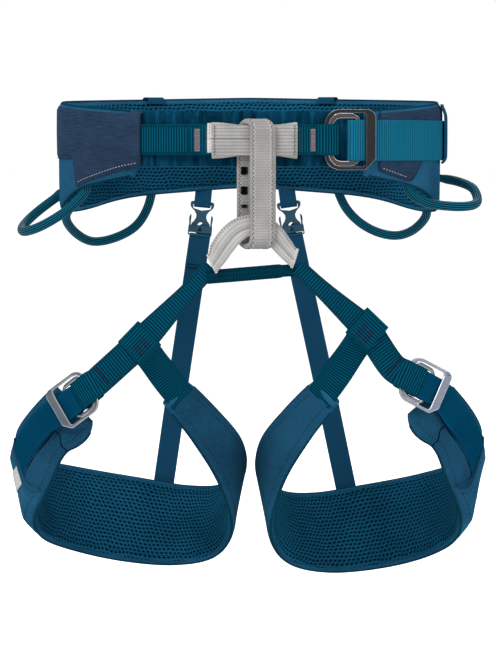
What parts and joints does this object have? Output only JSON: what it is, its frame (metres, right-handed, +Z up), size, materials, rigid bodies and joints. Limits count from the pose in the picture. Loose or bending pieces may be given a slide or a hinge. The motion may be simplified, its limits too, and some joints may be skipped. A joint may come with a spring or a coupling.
{
  "type": "climbing harness",
  "caption": "Adjustable climbing harness: padded waist belt with double-back buckle, two padded leg loops with buckles, belay loop, tie-in points, gear loops and clip-on rear risers.",
  "frame": {"origin": "centre of the waist opening, at the height of the belt's load webbing", "axes": "+Z up when worn, the wearer faces -Y, the wearer's right side is at -X"},
  "size_m": [0.401, 0.2305, 0.4129],
  "materials": {
    "outer_fabric": "smooth close woven polyester, faint sheen",
    "mesh_lining": "open spacer mesh",
    "foam": "closed-cell foam",
    "hip_fabric": "fine ribbed stretch fabric",
    "webbing": "ribbed flat webbing",
    "trim_webbing": "narrow smooth webbing and elastic",
    "tie_in_webbing": "heavy abrasion-resistant webbing",
    "pink_thread": "thread",
    "dark_thread": "thread",
    "woven_tag": "woven tag, blank",
    "black_frame": "satin black anodised aluminium",
    "dark_ring": "satin dark grey anodised aluminium",
    "satin_metal": "satin aluminium",
    "clip_plastic": "moulded acetal",
    "loop_tube": "smooth flexible tube",
    "loop_core": "sewn webbing core"
  },
  "bodies": {
    "belt": {"crossbridge_strap": "trim_webbing", "gear_loop_anchors": "trim_webbing", "left_clip_male": "clip_plastic", "left_hip_panel": "hip_fabric", "left_riser_tab": "trim_webbing", "left_tool_slot": "trim_webbing", "lower_tie_in_arch": "tie_in_webbing", "right_clip_male": "clip_plastic", "right_hip_panel": "hip_fabric", "right_riser_tab": "trim_webbing", "right_tool_slot": "trim_webbing", "upper_tie_in_sleeve": "tie_in_webbing", "waist_bar_tacks": "pink_thread", "waist_buckle_ring": "dark_ring", "waist_foam_core": "foam", "waist_front_pad": "outer_fabric", "waist_keeper": "trim_webbing", "waist_mesh_lining": "mesh_lining", "waist_outer_shell": "outer_fabric", "waist_webbing_front": "webbing", "waist_webbing_rear": "webbing", "waist_webbing_tail": "webbing"},
    "right_leg_loop": {"right_leg_mesh_lining": "mesh_lining", "right_leg_foam_core": "foam", "right_leg_outer_shell": "outer_fabric", "right_leg_buckle_ring": "satin_metal", "right_leg_main_strap": "webbing", "right_leg_front_webbing": "webbing", "right_leg_tail_strap": "webbing", "right_leg_pocket": "outer_fabric", "right_leg_label": "woven_tag", "right_leg_bar_tacks": "dark_thread", "right_riser_strap": "trim_webbing"},
    "right_leg_frame": {"right_leg_buckle_frame": "satin_metal"},
    "right_clip": {"right_clip_female": "clip_plastic"},
    "right_front_loop": {"right_front_gear_loop": "loop_tube", "right_front_gear_core": "loop_core"},
    "right_rear_loop": {"right_rear_gear_loop": "loop_tube", "right_rear_gear_core": "loop_core"},
    "left_leg_loop": {"left_leg_mesh_lining": "mesh_lining", "left_leg_foam_core": "foam", "left_leg_outer_shell": "outer_fabric", "left_leg_buckle_ring": "satin_metal", "left_leg_main_strap": "webbing", "left_leg_front_webbing": "webbing", "left_leg_tail_strap": "webbing", "left_leg_pocket": "outer_fabric", "left_leg_label": "woven_tag", "left_leg_bar_tacks": "dark_thread", "left_riser_strap": "trim_webbing"},
    "left_leg_frame": {"left_leg_buckle_frame": "satin_metal"},
    "left_clip": {"left_clip_female": "clip_plastic"},
    "left_front_loop": {"left_front_gear_loop": "loop_tube", "left_front_gear_core": "loop_core"},
    "left_rear_loop": {"left_rear_gear_loop": "loop_tube", "left_rear_gear_core": "loop_core"},
    "belay": {"belay_loop": "tie_in_webbing"},
    "waist_frame": {"waist_buckle_frame": "black_frame"}
  },
  "joints": [
    {"name": "right_leg_swing", "type": "hinge", "parent": "belt", "child": "right_leg_loop", "pos_m": [-0.0346, -0.1105, -0.108], "axis": [1, 0, 0], "range_deg": [-18, 8], "stiffness_Nm_per_rad": 1, "springref_deg": 6.37, "deforming": ["right_riser_strap"]},
    {"name": "left_leg_swing", "type": "hinge", "parent": "belt", "child": "left_leg_loop", "pos_m": [0.0389, -0.1105, -0.108], "axis": [1, 0, 0], "range_deg": [-18, 8], "stiffness_Nm_per_rad": 1, "springref_deg": 6.37, "deforming": ["left_riser_strap"]},
    {"name": "right_leg_frame_lift", "type": "hinge", "parent": "right_leg_loop", "child": "right_leg_frame", "pos_m": [-0.12875, -0.09463, -0.19947], "axis": [-0.5014, 0.2915, 0.8146], "range_deg": [0, 28]},
    {"name": "left_leg_frame_lift", "type": "hinge", "parent": "left_leg_loop", "child": "left_leg_frame", "pos_m": [0.12594, -0.09594, -0.18957], "axis": [-0.4034, -0.2109, -0.8904], "range_deg": [0, 28]},
    {"name": "waist_frame_lift", "type": "hinge", "parent": "belt", "child": "waist_frame", "pos_m": [0.06136, -0.09581, 0], "axis": [0, 0, -1], "range_deg": [0, 30]},
    {"name": "belay_swing", "type": "hinge", "parent": "belt", "child": "belay", "pos_m": [0.005, -0.11075, 0.0078], "axis": [1, 0, 0], "range_deg": [-3.2, 0]},
    {"name": "right_clip_release", "type": "slide", "parent": "belt", "child": "right_clip", "axis": [-0.0952, 0.0153, -0.9953], "range_m": [0, 0.014], "deforming": ["right_riser_strap"]},
    {"name": "left_clip_release", "type": "slide", "parent": "belt", "child": "left_clip", "axis": [0.1379, 0.0198, -0.9902], "range_m": [0, 0.014], "deforming": ["left_riser_strap"]},
    {"name": "right_front_loop_lift", "type": "hinge", "parent": "belt", "child": "right_front_loop", "pos_m": [-0.1475, -0.0088, -0.044], "axis": [-0.3055, 0.9519, -0.0257], "range_deg": [0, 40]},
    {"name": "right_rear_loop_lift", "type": "hinge", "parent": "belt", "child": "right_rear_loop", "pos_m": [-0.11403, 0.07338, -0.043], "axis": [0.82, 0.5561, 0.1354], "range_deg": [0, 40]},
    {"name": "left_front_loop_lift", "type": "hinge", "parent": "belt", "child": "left_front_loop", "pos_m": [0.14518, -0.01268, -0.0365], "axis": [-0.3549, -0.9288, -0.107], "range_deg": [0, 40]},
    {"name": "left_rear_loop_lift", "type": "hinge", "parent": "belt", "child": "left_rear_loop", "pos_m": [0.10961, 0.07498, -0.042], "axis": [0.8391, -0.5353, -0.0967], "range_deg": [0, 40]}
  ]
}
